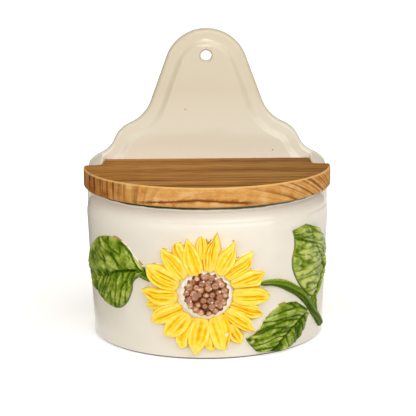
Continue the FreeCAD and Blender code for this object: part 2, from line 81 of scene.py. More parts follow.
def add_node(tree, kind, inputs=None, stops=(), **settings):
    """Adds a shader node with its settings, its inputs as values or linked sockets, and its ramp's stops."""
    node = tree.nodes.new("ShaderNode" + kind)
    for name, value in settings.items():
        setattr(node, name, value)
    for name, value in (inputs or {}).items():
        if isinstance(value, bpy.types.NodeSocket):
            tree.links.new(value, node.inputs[name])
        else:
            node.inputs[name].default_value = value
    for place, code in stops:
        stop = node.color_ramp.elements.new(place)
        stop.color = colour(code)
    if stops:
        node.color_ramp.elements.remove(node.color_ramp.elements[0])
        node.color_ramp.elements.remove(node.color_ramp.elements[-1])
    return node


def new_material(name, roughness, ior=1.5):
    """Material whose shader has one roughness and index of refraction all over."""
    material = bpy.data.materials.new(name)
    material.use_nodes = True
    shader = material.node_tree.nodes["Principled BSDF"]
    shader.inputs["Roughness"].default_value = roughness
    shader.inputs["IOR"].default_value = ior
    return material, material.node_tree, shader


# Tin glaze over stoneware: opaque cream, glassy, a little uneven in thickness, with a few iron specks, and
# more yellow up the plate. Just over the lid, low on the plate and on the ears, it is painted near white:
# painted light against the lid's shade. The foot's lowest millimetre is bare clay, painted dark enough to
# make the shade line along the base as well. The plate's low step is shaded steeper than it is, so that it
# shows, and a shallow groove runs round the shoulder.
cream_glaze, tree, shader = new_material("cream_tin_glaze", 0.11)
iron_speck = colour("#9A7A55")
spot = add_node(tree, "TexCoord").outputs["Object"]
place = add_node(tree, "SeparateXYZ", {"Vector": spot})
cloud = add_node(tree, "TexNoise", {"Vector": spot, "Scale": 1 / (GLAZE_CLOUD * MM), "Detail": 3.0})
body_colour = add_node(tree, "ValToRGB", {"Fac": cloud.outputs["Fac"]},
                       stops=((0.35, "#EBE4D7"), (0.65, "#F0EADE")))
on_plate = add_node(tree, "MapRange", {"Value": place.outputs["Z"], "From Min": lid_low.z - PLATE_BLEND * MM,
                                       "From Max": lid_low.z})
up_plate = add_node(tree, "MapRange", {"Value": place.outputs["Z"], "From Min": lid_low.z,
                                       "From Max": lid_high.z + PLATE_FADE * MM})
# Near white just over the lid and creamier higher up: painted light against the lid's shade, then the cream.
plate_colour_and_painted_light = add_node(tree, "ValToRGB", {"Fac": up_plate.outputs[0]},
                        stops=((0.05, "#FCF9F1"), (0.2, "#F0EADC"), (0.34, "#E9E4D3"), (0.95, "#D6CCB4")))
body_and_plate_colour = add_node(tree, "Mix", {0: on_plate.outputs[0], 6: body_colour.outputs["Color"],
                                  7: plate_colour_and_painted_light.outputs["Color"]}, data_type="RGBA")

cell = add_node(tree, "TexVoronoi", {"Vector": spot, "Scale": 1 / (SPECK_SPACING * MM)})
near = add_node(tree, "MapRange", {"Value": cell.outputs["Distance"], "From Min": 0.02, "From Max": 0.03,
                                   "To Min": 1.0, "To Max": 0.0})
chosen = add_node(tree, "SeparateColor", {"Color": cell.outputs["Color"]})
few = add_node(tree, "Math", {0: chosen.outputs["Red"], 1: 0.8}, operation="GREATER_THAN")
speck = add_node(tree, "Math", {0: near.outputs[0], 1: few.outputs[0]}, operation="MULTIPLY")
specked = add_node(tree, "Mix", {0: speck.outputs[0], 6: body_and_plate_colour.outputs[2], 7: iron_speck},
                   data_type="RGBA")
from_front = add_node(tree, "CombineXYZ", {"X": place.outputs["X"], "Z": place.outputs["Z"]})
for right, up in PLATE_SPECKS:
    apart = add_node(tree, "VectorMath", {0: from_front.outputs[0], 1: (right * MM, 0, up * MM)},
                     operation="DISTANCE")
    near = add_node(tree, "MapRange", {"Value": apart.outputs["Value"],
                                       "From Min": (SPECK_RADIUS - SPECK_BLUR) * MM,
                                       "From Max": SPECK_RADIUS * MM, "To Min": 1.0, "To Max": 0.0})
    specked = add_node(tree, "Mix", {0: near.outputs[0], 6: specked.outputs[2], 7: iron_speck},
                       data_type="RGBA")

wobble = add_node(tree, "TexNoise", {"Vector": spot, "Scale": 1 / (BAND_WAVE * MM), "Detail": 1.0})
edge_z = add_node(tree, "MapRange", {"Value": wobble.outputs["Fac"],
                                     "To Min": lid_low.z - (LIP_BAND + LIP_WOBBLE) * MM,
                                     "To Max": lid_low.z - (LIP_BAND - LIP_WOBBLE) * MM})
over_edge = add_node(tree, "Math", {0: place.outputs["Z"], 1: edge_z.outputs[0]}, operation="GREATER_THAN")
under_lid = add_node(tree, "Math", {0: place.outputs["Z"], 1: lid_low.z}, operation="LESS_THAN")
in_front = add_node(tree, "Math", {0: place.outputs["Y"], 1: AXIS_Y}, operation="LESS_THAN")
banded = add_node(tree, "Math", {0: over_edge.outputs[0], 1: under_lid.outputs[0]}, operation="MULTIPLY")
banded = add_node(tree, "Math", {0: banded.outputs[0], 1: in_front.outputs[0]}, operation="MULTIPLY")
painted = add_node(tree, "Mix", {0: banded.outputs[0], 6: specked.outputs[2], 7: colour("#3C4A00")},
                   data_type="RGBA")
# Bare clay at the foot, painted dark enough to make the shade line along the base as well.
foot = add_node(tree, "MapRange", {"Value": place.outputs["Z"], "From Min": FOOT_DARK_FULL * MM,
                                   "From Max": FOOT_DARK_END * MM, "To Min": 1.0, "To Max": 0.0})
foot_darkened = add_node(tree, "Mix", {0: foot.outputs[0], 6: painted.outputs[2], 7: colour("#6E604E")},
                  data_type="RGBA")
tree.links.new(foot_darkened.outputs[2], shader.inputs["Base Color"])

crisper = add_node(tree, "MapRange", {"Value": on_plate.outputs[0], "To Min": 1.0, "To Max": STEP_CRISPNESS})
stretch = add_node(tree, "CombineXYZ", {"X": crisper.outputs[0], "Y": 1.0, "Z": crisper.outputs[0]})
facing = add_node(tree, "TexCoord").outputs["Normal"]
facing = add_node(tree, "VectorMath", {0: facing, 1: stretch.outputs[0]}, operation="MULTIPLY")
facing = add_node(tree, "VectorMath", {0: facing.outputs[0]}, operation="NORMALIZE")
facing = add_node(tree, "VectorTransform", {"Vector": facing.outputs[0]}, vector_type="NORMAL",
                  convert_from="OBJECT", convert_to="WORLD")
wave = add_node(tree, "TexNoise", {"Vector": spot, "Scale": 1 / (GLAZE_WAVE * MM), "Detail": 1.5})
uneven = add_node(tree, "Bump", {"Height": wave.outputs["Fac"], "Strength": 0.2,
                                 "Distance": GLAZE_RIPPLE * MM, "Normal": facing.outputs[0]})
from_groove = add_node(tree, "Math", {0: place.outputs["Z"], 1: GROOVE_Z * MM}, operation="SUBTRACT")
from_groove = add_node(tree, "Math", {0: from_groove.outputs[0]}, operation="ABSOLUTE")
groove = add_node(tree, "MapRange", {"Value": from_groove.outputs[0], "From Max": GROOVE_HALF * MM},
                  interpolation_type="SMOOTHSTEP")
grooved = add_node(tree, "Bump", {"Height": groove.outputs[0], "Strength": 1.0, "Distance": GROOVE_DEPTH * MM,
                                  "Normal": uneven.outputs["Normal"]})
tree.links.new(grooved.outputs["Normal"], shader.inputs["Normal"])
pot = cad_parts["pot_body"]
pot.data.materials.clear()
pot.data.materials.append(cream_glaze)


# Seed head
# Domed disc of clay, pressed all over into round seeds, painted brown and glazed. Its sloped skirt is left
# unpainted and shows as a pale ring round the seeds.
FOOT_RADIUS = 69.2
WALL_WIDENING = 3.3
WIDEST_UP = 76.0
WALL_SLOPE = WALL_WIDENING / WIDEST_UP
MIDDLE_RADIUS = 70.9
FLOWER_UP = 39.4
FLOWER_AROUND = -1.0
SINK = 0.7
SEED_ROWS = 72
SEED_COLUMNS = 240
SEED_DISC = 12.7
SEED_DOME = 2.9
SEED_DOME_FALL = 1.3
SEED_SIZE = 2.35
SEED_STRAY = 0.7
SEED_RISE = 2.0
SEED_GRAIN = 1.3
SEED_RINGS = ((0.0, 1), (3.6, 6), (7.1, 12), (10.7, 18))
SKIRT = 3.4
SKIRT_RISE = 1.5
SCALLOPS = 19
BROWN_MOTTLE = 2.6
GLINT_SPACING = 2.4


def on_wall(around, up, out):
    """Points in metres from runs round the front wall, heights, and distances out from it, in millimetres."""
    radius = FOOT_RADIUS + WALL_SLOPE * up + out
    turn = around / MIDDLE_RADIUS
    points = [radius * np.sin(turn), AXIS_Y / MM - radius * np.cos(turn), up + 0 * radius]
    return np.stack(points, axis=-1) * MM


def relief(name, around, up, out, marks, closed=False):
    """Closed mesh over a grid of places on the wall, with named marks kept on its points for its paint."""
    rows, columns = around.shape
    index = np.arange(rows * columns).reshape(rows, columns)
    if closed:
        index = np.column_stack([index, index[:, 0]])
    corners = (index[:-1, :-1], index[:-1, 1:], index[1:, 1:], index[1:, :-1])
    faces = np.stack(corners, axis=-1).reshape(-1, 4).tolist()
    if closed:
        faces.append(index[-1, :-1].tolist())
    else:
        ends = (index[:-1, 0], index[1:, 0], index[1:, -1], index[:-1, -1])
        faces += np.stack(ends, axis=-1).tolist() + [index[0].tolist(), index[-1].tolist()]
    mesh = bpy.data.meshes.new(name)
    mesh.from_pydata(on_wall(around, up, out).reshape(-1, 3).tolist(), [], faces)
    for mark, values in marks.items():
        kept = mesh.attributes.new(mark, "FLOAT", "POINT")
        kept.data.foreach_set("value", np.broadcast_to(values, around.shape).astype(np.float32).ravel())
    shape = bmesh.new()
    shape.from_mesh(mesh)
    bmesh.ops.remove_doubles(shape, verts=shape.verts, dist=0.001 * MM)
    bmesh.ops.recalc_face_normals(shape, faces=shape.faces)
    shape.to_mesh(mesh)
    shape.free()
    mesh.shade_smooth()
    piece = bpy.data.objects.new(name, mesh)
    bpy.context.scene.collection.objects.link(piece)
    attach(piece, "pot")
    return piece


def soft_noise(around, up, size, seed):
    """Smooth noise from -1 to 1 over places on the wall, with features of a size in millimetres."""
    values = [noise.noise(Vector((a / size, u / size, seed))) for a, u in zip(around.ravel(), up.ravel())]
    return np.array(values).reshape(around.shape)


rng = np.random.default_rng(11)
skirt_rings = SEED_DISC + SKIRT * np.array([0.15, 0.4, 0.7, 1])
rings = np.concatenate([np.linspace(0, SEED_DISC, SEED_ROWS), skirt_rings])
turns = np.linspace(0, 2 * math.pi, SEED_COLUMNS, endpoint=False)
distance, turn = np.meshgrid(rings, turns, indexing="ij")
right = distance * np.sin(turn)
above = distance * np.cos(turn)
inside = np.clip(distance / SEED_DISC, 0, 1)
crown = np.zeros_like(inside)
for ring, count in SEED_RINGS:
    first = rng.uniform(0, 2 * math.pi)
    for number in range(count):
        seed_turn = first + 2 * math.pi * (number + rng.uniform(-0.2, 0.2)) / count
        out_to = ring + rng.uniform(-SEED_STRAY, SEED_STRAY)
        size = SEED_SIZE * rng.uniform(0.75, 1.15)
        apart = np.hypot(right - out_to * math.sin(seed_turn), above - out_to * math.cos(seed_turn)) / size
        mound = np.clip(1 - apart ** 2, 0, 1) ** 0.55
        mound = mound - rng.uniform(0.05, 0.5) * np.exp(-(apart / 0.34) ** 2)
        crown = np.maximum(crown, mound * rng.uniform(0.75, 1.05))
grain = soft_noise(right, above, SEED_GRAIN, 4.0)
to_edge = np.clip(SEED_DISC + 0.3 - distance, 0, 1)
height = SEED_DOME - SEED_DOME_FALL * inside ** 2 + (SEED_RISE * crown + 0.12 * grain) * to_edge
skirt = np.clip((distance - SEED_DISC) / SKIRT, 0, 1)
wavy = 0.45 * np.sin(SCALLOPS * turn) + 0.5 * grain
scallop = 0.5 * np.sin(SCALLOPS * turn) + 0.4 * grain
skirt_height = SKIRT_RISE + scallop * (1 - skirt) - (SKIRT_RISE + SINK) * skirt ** 1.6
height = np.where(skirt > 0, skirt_height, height)
seeds = relief("seed_head_relief", FLOWER_AROUND + right, FLOWER_UP + above, height,
               {"crown": crown + 0.2 * inside ** 6, "bare": distance > SEED_DISC - 0.2 + wavy}, closed=True)
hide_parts("seed_head")

# Brown underglaze under a clear glaze: darker between the seeds, mottled and paler on their tops, with a few
# small white spots painted in as glints. It is glossy on the tops and dull in the gaps, and its own specular
# level stands where a varied one can't be kept.
brown_glaze, tree, shader = new_material("brown_underglaze", 0.07, 1.6)
crown_mark = add_node(tree, "Attribute", attribute_name="crown")
bare_mark = add_node(tree, "Attribute", attribute_name="bare")
spot = add_node(tree, "TexCoord").outputs["Object"]
patch = add_node(tree, "TexNoise", {"Vector": spot, "Scale": 1 / (BROWN_MOTTLE * MM), "Detail": 2.0})
# Lighter with the seeds' height and the mottle, and darker between the seeds.
seed_lightness = add_node(tree, "Math", {0: patch.outputs["Fac"], 1: 1.4, 2: crown_mark.outputs["Fac"]},
                operation="MULTIPLY_ADD")
seed_lightness = add_node(tree, "Math", {0: seed_lightness.outputs[0], 1: 0.5}, operation="MULTIPLY")
seed_brown = add_node(tree, "ValToRGB", {"Fac": seed_lightness.outputs[0]},
                  stops=((0.34, "#643518"), (0.5, "#88502C"), (0.72, "#AA6838"), (0.9, "#DEAA7E")))
# Painted glints: small white spots on a few cells, in place of the lamps' reflections in the seeds.
cell = add_node(tree, "TexVoronoi", {"Vector": spot, "Scale": 1 / (GLINT_SPACING * MM)})
near = add_node(tree, "MapRange", {"Value": cell.outputs["Distance"], "From Min": 0.16, "From Max": 0.3,
                                   "To Min": 1.0, "To Max": 0.0})
chosen = add_node(tree, "SeparateColor", {"Color": cell.outputs["Color"]})
few = add_node(tree, "Math", {0: chosen.outputs["Red"], 1: 0.7}, operation="GREATER_THAN")
painted_glints = add_node(tree, "Math", {0: near.outputs[0], 1: few.outputs[0]}, operation="MULTIPLY")
glinted = add_node(tree, "Mix", {0: painted_glints.outputs[0], 6: seed_brown.outputs["Color"], 7: colour("#FFF4E8")},
                   data_type="RGBA")
ringed = add_node(tree, "Mix", {0: bare_mark.outputs["Fac"], 6: glinted.outputs[2], 7: colour("#F6F4F2")},
                  data_type="RGBA")
tree.links.new(ringed.outputs[2], shader.inputs["Base Color"])
gloss = add_node(tree, "MapRange", {"Value": crown_mark.outputs["Fac"], "From Min": 0.3, "From Max": 0.75,
                                    "To Min": 0.04})
shader.inputs["Specular IOR Level"].default_value = 0.5
tree.links.new(gloss.outputs[0], shader.inputs["Specular IOR Level"])
seeds.data.materials.append(brown_glaze)


# Petals
# Sixteen full petals and five small ones behind them, each rolled from clay, fluted with a tool, stuck on
# with slip, painted yellow and glazed. The glaze of one lower petal is chipped.
PETAL_ROWS = 48
PETAL_COLUMNS = 41
PETAL_LENGTH = 22.4
PETAL_HALF = 6.6
PETAL_GRAIN = 2.4
OVERLAP = 0.45
SIDE_SLOPE = 1.1
ROOT_ROUND = 1.3
EDGE_ROUND = 0.7
CREST = 1.5
FLUTES = (-0.6, -0.22, 0.16, 0.54)
FLUTE_DEPTH = 1.5
STROKE_WIDTH = 1.1
STROKE_LENGTH = 14.0
CHIP = (10.5, 15.5)
CHIP_RADIUS = 1.1

# Tip, left edge and right edge, as degrees clockwise from above and millimetres from the flower's middle,
# and the lift over the wall.
FULL_PETALS = (
    ((10, 36.6), ((-5, 12.8), (-4, 22.1), (-1, 26.5), (5, 30.7)),
     ((19, 12.8), (16, 22.9), (16, 27.1), (13, 31.6)), 0.3),
    ((27, 34.9), ((18, 12.9), (17, 21.9), (20, 25.9), (25, 30.4)),
     ((43, 13.2), (42, 20.9), (38, 26), (32, 29.9)), 0.9),
    ((48, 35.7), ((40, 13.4), (41, 23), (42, 25.8), (45, 30.9)),
     ((60, 14), (60, 21.2), (60, 27.4), (54, 31.1)), 0.1),
    ((71, 35.2), ((60, 14.4), (61, 20.7), (62, 27.2), (67, 30.9)),
     ((80, 14.6), (81, 22.7), (83, 29.5), (79, 31.4)), 0.7),
    ((95, 37.4), ((80, 14.8), (84, 22.4), (86, 29.9), (91, 34.9)),
     ((110, 14.8), (109, 22.1), (105, 29.4), (101, 34.3)), 0.3),
    ((114, 35.9), ((108, 14.8), (107, 22), (105, 28), (107, 31)),
     ((123, 14.8), (122, 21.8), (121, 30.1), (116, 34.3)), -0.2),
    ((130, 37), ((122, 14.6), (122, 21.8), (123, 29.8), (127, 32.2)),
     ((142, 14.6), (141, 20.2), (138, 27.5), (135, 32.2)), 0.6),
    ((163, 35.2), ((141, 14.4), (143, 20.9), (148, 26.1), (155, 30.3)),
     ((177, 14.4), (177, 21.3), (174, 27.8), (171, 31.8)), 0.9),
    ((190, 36.9), ((175, 14.6), (175, 21.3), (177, 26.1), (183, 30.9)),
     ((206, 14.6), (206, 20.3), (202, 27.8), (198, 32.1)), 0.4),
    ((205, 36.1), ((200, 15.6), (202, 24), (202, 29), (200, 33)),
     ((214, 15.6), (215, 24), (214.5, 30), (212, 33.4)), -0.3),
    ((224, 35.4), ((207, 15.9), (208, 20), (209, 25.5), (214, 31)),
     ((233, 15.9), (235, 22), (235, 26.5), (231, 31.3)), 0.7),
    ((241, 37.2), ((231, 16.2), (232, 21.3), (232, 27), (234, 32)),
     ((252, 16.2), (253, 22), (252, 28), (249, 33)), 0.1),
    ((271, 38.2), ((252, 16.4), (253, 23.2), (255, 28.5), (263, 33.3)),
     ((275, 16.4), (274, 22), (273.5, 28), (274, 33)), 0.8),
    ((295, 37.5), ((275, 16.2), (275, 22), (277, 28), (284, 34.5)),
     ((298, 15.8), (301, 22), (302.5, 27), (301, 31.5)), 0.3),
    ((316, 36.2), ((297, 15.2), (300, 21), (303, 26.5), (309, 31.7)),
     ((321, 14.2), (325, 21), (325, 26), (320, 31)), 0.0),
    ((342, 34), ((319, 13), (323, 19), (329, 24.9), (337, 29.5)),
     ((355, 12.8), (353, 18), (351, 23.5), (347, 28.8)), 0.8),
)
SMALL_PETALS = (
    ((147, 36.5), ((138, 22), (140, 29), (141, 33)), ((156, 22), (154, 28), (152, 32.4)), -0.5),
    ((176, 34.2), ((169, 22), (170, 28), (171.5, 32.6)), ((184, 22), (183, 27.5), (180.5, 31.6)), -0.5),
    ((258, 36.9), ((249, 22), (250, 29), (252.5, 34)), ((263, 22), (262.5, 28), (261, 33)), -0.5),
    ((331.5, 34.2), ((321, 22), (323, 29), (327, 33)), ((337, 22), (336, 29), (335, 32.4)), 0.1),
    ((355.5, 33.8), ((347, 20), (349.5, 27.5), (352.5, 32.3)), ((362, 20), (361, 27.5), (359, 32)), -0.1),
)


def bump_at(place, middle, width):
    """Smooth bump of height 1 at the middle."""
    return np.exp(-((place - middle) / width) ** 2)


def smooth_line(points, count):
    """Curve through points, as count rows evenly spread over their spans."""
    points = np.array(points, float)
    ends = np.vstack([2 * points[0] - points[1], points, 2 * points[-1] - points[-2]])
    rows = []
    for place in np.linspace(0, len(points) - 1, count):
        span = min(int(place), len(points) - 2)
        share = place - span
        a, b, c, d = ends[span:span + 4]
        bend = 2 * a - 5 * b + 4 * c - d + share * (3 * (b - c) + d - a)
        rows.append(b + share * (c - a + share * bend) / 2)
    return np.array(rows)


def petal(node, tip, left, right, lift, number):
    """One petal as a fluted relief between its edges, laid from the ring round the seeds out to its point."""
    draw = np.random.default_rng(number)
    rails = []
    for edge in (left, right):
        line = smooth_line(edge + (tip,), PETAL_ROWS)
        turn = np.radians(line[:, 0])
        rails.append(np.stack([line[:, 1] * np.sin(turn), line[:, 1] * np.cos(turn)], axis=-1))
    middle = (rails[1] + rails[0]) / 2
    half = (rails[1] - rails[0]) / 2
    width = np.linalg.norm(half, axis=1)
    aim = half / np.maximum(width, 0.05)[:, None]
    outward = middle / np.linalg.norm(middle, axis=1)[:, None]
    across = np.concatenate([[-1, -1], np.linspace(-1, 1, PETAL_COLUMNS), [1, 1]])
    side = np.zeros(len(across))
    side[[0, 1, -2, -1]] = (-SIDE_SLOPE, -SIDE_SLOPE / 3, SIDE_SLOPE / 3, SIDE_SLOPE)
    part, wide = np.meshgrid(np.linspace(0, 1, PETAL_ROWS), across, indexing="ij")
    width = width[:, None] + OVERLAP * (1 - part ** 5)
    sideways = (wide * width + side[None, :] * (1 - 0.7 * part ** 6))[..., None]
    rounding = (ROOT_ROUND * wide ** 2 * (1 - part) ** 8)[..., None]
    laid = middle[:, None, :] + sideways * aim[:, None, :] + rounding * outward[:, None, :]
    around = FLOWER_AROUND + laid[..., 0]
    up = FLOWER_UP + laid[..., 1]

    ridge_and_painted_light = np.ones_like(part)
    for flute in FLUTES:
        start = draw.uniform(-0.1, 0.15)
        stop = draw.uniform(0.7, 1.05)
        reach = np.clip((part - start) / 0.15, 0, 1) * np.clip((stop - part) / 0.2, 0, 1)
        line = (flute + draw.uniform(-0.12, 0.12)) * (1 - 0.25 * part) + 0.12 * np.sin(3 * part + 2 * number)
        ridge_and_painted_light -= draw.uniform(0.2, 1.0) * reach * bump_at(wide, line, draw.uniform(0.07, 0.16))
    ridge_and_painted_light += 0.08 * bump_at(np.abs(wide), 0.8, 0.14)
    # A dip along each petal's edge, in the relief and in the paint: painted shade between the petals.
    ridge_and_painted_light -= 0.7 * bump_at(np.abs(wide), 1.0, 0.08)
    grain = soft_noise(around + 7 * number, up, PETAL_GRAIN, number)
    crest = CREST + lift + CREST * np.sin(math.pi * (0.08 + 0.72 * part))
    top = np.maximum(crest - 0.9 * wide ** 2 + FLUTE_DEPTH * (ridge_and_painted_light - 0.8) + 0.3 * grain, 0.6)
    from_edge = np.clip((1 - np.abs(wide)) * width / EDGE_ROUND, 0, 1)
    rounded = top * (0.62 + 0.38 * np.sqrt(1 - (1 - from_edge) ** 2))
    out = np.where(np.abs(side)[None, :] > 0, 0.4 * top, rounded)
    out[:, [0, -1]] = -SINK
    out[[0, -1], :] = -SINK
    bare = np.zeros_like(part)
    bare[:, [0, 1, -2, -1]] = 1
    marks = {"along": part, "across": wide + 3 * number, "ridge_and_painted_light": np.clip(ridge_and_painted_light + 0.3 * grain, 0, 1.2),
             "bare": bare}
    piece = relief(f"{node}_relief", around, up, out, marks)
    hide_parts(node)
    return piece


def sprig_side(tree, spot, stain_size, stain_range, clay, brown, paint):
    """Colour of the cut sides: pale clay with brown stains facing up, paint elsewhere; partly painted light
    from above.
    """
    facing = add_node(tree, "SeparateXYZ", {"Vector": add_node(tree, "TexCoord").outputs["Normal"]})
    # Pale facing up and paint coloured facing down: partly bare clay, partly painted light from above.
    upper = add_node(tree, "MapRange", {"Value": facing.outputs["Z"], "From Min": 0.0, "From Max": 0.35})
    stain = add_node(tree, "TexNoise", {"Vector": spot, "Scale": 1 / (stain_size * MM)})
    stained = add_node(tree, "MapRange", {"Value": stain.outputs["Fac"], "From Min": stain_range[0],
                                          "From Max": stain_range[1]})
    top = add_node(tree, "Mix", {0: stained.outputs[0], 6: colour(clay), 7: colour(brown)}, data_type="RGBA")
    side = add_node(tree, "Mix", {0: upper.outputs[0], 6: colour(paint), 7: top.outputs[2]}, data_type="RGBA")
    return side.outputs[2]


# Yellow underglaze under a clear glaze: orange where it pools in the flutes, and glossier on the ridges. The
# near white yellow along the tops of the ridges is painted highlight, and the orange dip along each edge is
# painted shade between the petals. Brush strokes run along the petal.
yellow_glaze, tree, shader = new_material("yellow_underglaze", 0.1)
along_mark = add_node(tree, "Attribute", attribute_name="along")
across_mark = add_node(tree, "Attribute", attribute_name="across")
ridge_and_light_mark = add_node(tree, "Attribute", attribute_name="ridge_and_painted_light")
bare_mark = add_node(tree, "Attribute", attribute_name="bare")
gloss = add_node(tree, "MapRange", {"Value": ridge_and_light_mark.outputs["Fac"], "From Min": 0.5, "From Max": 1.1,
                                    "To Min": 0.1, "To Max": 0.75})
shader.inputs["Specular IOR Level"].default_value = 0.4
tree.links.new(gloss.outputs[0], shader.inputs["Specular IOR Level"])
laid = add_node(tree, "CombineXYZ", {"X": across_mark.outputs["Fac"], "Y": along_mark.outputs["Fac"]})
strokes = (PETAL_HALF / STROKE_WIDTH, PETAL_LENGTH / STROKE_LENGTH, 1.0)
stretch = add_node(tree, "Mapping", {"Vector": laid.outputs[0], "Scale": strokes})
stroke = add_node(tree, "TexNoise", {"Vector": stretch.outputs[0], "Scale": 1.0, "Detail": 4.0})
paint_and_light = add_node(tree, "Math", {0: stroke.outputs["Fac"], 1: ridge_and_light_mark.outputs["Fac"]}, operation="ADD")
paint_and_light = add_node(tree, "Math", {0: paint_and_light.outputs[0], 1: 0.5}, operation="MULTIPLY")
# The palest stop, along the tops of the ridges, is painted highlight.
yellow = add_node(tree, "ValToRGB", {"Fac": paint_and_light.outputs[0]},
                  stops=((0.14, "#EA9804"), (0.34, "#FBC00E"), (0.54, "#FED724"), (0.76, "#FFE652"),
                         (0.94, "#FFF08C")))
rooted = add_node(tree, "MapRange", {"Value": along_mark.outputs["Fac"], "From Min": 0.0, "From Max": 0.25,
                                     "To Min": 0.5, "To Max": 0.0})
deep = add_node(tree, "Mix", {0: rooted.outputs[0], 6: yellow.outputs["Color"], 7: colour("#FAC41C")},
                data_type="RGBA")
spot = add_node(tree, "TexCoord").outputs["Object"]
side_colour = sprig_side(tree, spot, 6.0, (0.53, 0.6), "#FCF8EE", "#A67C58", "#E8B030")
whole = add_node(tree, "Mix", {0: bare_mark.outputs["Fac"], 6: deep.outputs[2], 7: side_colour},
                 data_type="RGBA")
place = add_node(tree, "SeparateXYZ", {"Vector": spot})
from_front = add_node(tree, "CombineXYZ", {"X": place.outputs["X"], "Z": place.outputs["Z"]})
apart = add_node(tree, "VectorMath", {0: from_front.outputs[0], 1: (CHIP[0] * MM, 0, CHIP[1] * MM)},
                 operation="DISTANCE")
chip = add_node(tree, "MapRange", {"Value": apart.outputs["Value"], "From Min": (CHIP_RADIUS - 0.3) * MM,
                                   "From Max": CHIP_RADIUS * MM, "To Min": 1.0, "To Max": 0.0})
chipped = add_node(tree, "Mix", {0: chip.outputs[0], 6: whole.outputs[2], 7: colour("#EFEDE8")},
                   data_type="RGBA")
tree.links.new(chipped.outputs[2], shader.inputs["Base Color"])
for number, row in enumerate(FULL_PETALS, start=1):
    petal(f"petal_{number:02d}", *row, number).data.materials.append(yellow_glaze)
for number, row in enumerate(SMALL_PETALS, start=1):
    petal(f"back_petal_{number}", *row, number + 20).data.materials.append(yellow_glaze)


# Stems
# Rolled strips of clay laid along the wall between the flower and the leaves, combed lengthwise and painted.
# Stations are the place along the wall, the height and half the width.
STEM_ROWS = 14
STEM_COLUMNS = 25
STEM_MARGIN = 1.25
STEM_END = 0.06
STEM_RISE = 2.5
COMB_DEPTH = 0.28
MARK_UNIT = 10.0
BRUSH_MARK = 2.0
STEMS = {
    "stem_right": ((30.5, 43.3, 1.4), (37.5, 43.2, 1.9), (44, 41.8, 2.5), (51, 38.7, 2.9), (59.5, 33.6, 2.8),
                   (68, 26.7, 2.7), (76, 19, 2.9), (86.4, 10.6, 3.1), (91, 6.8, 2.4)),
    "stalk_left": ((-33.3, 46.2, 1.8), (-37.6, 47.9, 2.4), (-43, 50.2, 2.5)),
    "stalk_upper_right": ((77.6, 18.4, 1.9), (76.2, 23.4, 1.7), (75, 29, 1.9)),
}


def stem(node, stations):
    """One stem as a rounded relief along its middle line."""
    line = smooth_line(stations, STEM_ROWS * len(stations))
    ahead = np.gradient(line[:, :2], axis=0)
    ahead /= np.linalg.norm(ahead, axis=1)[:, None]
    across = np.linspace(-STEM_MARGIN, STEM_MARGIN, STEM_COLUMNS)
    part, wide = np.meshgrid(np.linspace(0, 1, len(line)), across, indexing="ij")
    end = np.clip(np.minimum(part, 1 - part) / STEM_END, 0, 1)
    width = line[:, 2][:, None] * np.sqrt(1 - (1 - end) ** 2) + 0.02
    sideways = wide * width
    around = line[:, 0][:, None] + sideways * ahead[:, 1][:, None]
    up = line[:, 1][:, None] - sideways * ahead[:, 0][:, None]
    combed = 0.5 + 0.5 * np.cos(7 * wide + 3 * soft_noise(4 * part, 0 * part, 0.6, 3))
    arch = np.sqrt(np.clip(1 - np.clip(np.abs(wide), 0, 1) ** 2, 0, 1))
    out = STEM_RISE * arch * end ** 0.5 + COMB_DEPTH * (combed - 0.5) * arch - SINK * (np.abs(wide) > 1)
    # Lighter along the stem's upper edge and darker along its lower one: painted light from above.
    marks = {"along": part * len(stations), "across": wide, "ridge_and_painted_light": 0.3 - 0.25 * wide + 0.3 * (combed - 0.5),
             "bare": np.abs(wide) > 1.1}
    piece = relief(f"{node}_relief", around, up, out, marks)
    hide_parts(node)
    return piece


# Green underglaze under a clear glaze: brushed, nearly black in the tooled lines, yellowish on the ridges and
# glossier there. The stems are painted lighter along their upper edge and darker along their lower one, and a
# leaf is darker just before its fold: painted light and painted shade.
green_glaze, tree, shader = new_material("green_underglaze", 0.12)
along_mark = add_node(tree, "Attribute", attribute_name="along")
across_mark = add_node(tree, "Attribute", attribute_name="across")
ridge_and_light_mark = add_node(tree, "Attribute", attribute_name="ridge_and_painted_light")
bare_mark = add_node(tree, "Attribute", attribute_name="bare")
gloss = add_node(tree, "MapRange", {"Value": ridge_and_light_mark.outputs["Fac"], "From Min": 0.25, "From Max": 0.75,
                                    "To Min": 0.04, "To Max": 0.4})
shader.inputs["Specular IOR Level"].default_value = 0.2
tree.links.new(gloss.outputs[0], shader.inputs["Specular IOR Level"])
laid = add_node(tree, "CombineXYZ", {"X": across_mark.outputs["Fac"], "Y": along_mark.outputs["Fac"]})
stroke = add_node(tree, "TexNoise", {"Vector": laid.outputs[0], "Scale": MARK_UNIT / BRUSH_MARK,
                                     "Detail": 4.0})
paint_and_light = add_node(tree, "Math", {0: stroke.outputs["Fac"], 1: ridge_and_light_mark.outputs["Fac"]}, operation="ADD")
paint_and_light = add_node(tree, "Math", {0: paint_and_light.outputs[0], 1: 0.5}, operation="MULTIPLY")
green = add_node(tree, "ValToRGB", {"Fac": paint_and_light.outputs[0]},
                 stops=((0.14, "#1A3200"), (0.32, "#446206"), (0.54, "#80961C"), (0.78, "#C6D06A")))
spot = add_node(tree, "TexCoord").outputs["Object"]
side_colour = sprig_side(tree, spot, 7.0, (0.48, 0.56), "#EDE3D2", "#B4824E", "#6A7C2C")
whole = add_node(tree, "Mix", {0: bare_mark.outputs["Fac"], 6: green.outputs["Color"], 7: side_colour},
                 data_type="RGBA")
tree.links.new(whole.outputs[2], shader.inputs["Base Color"])
for node, stations in STEMS.items():
    stem(node, stations).data.materials.append(green_glaze)


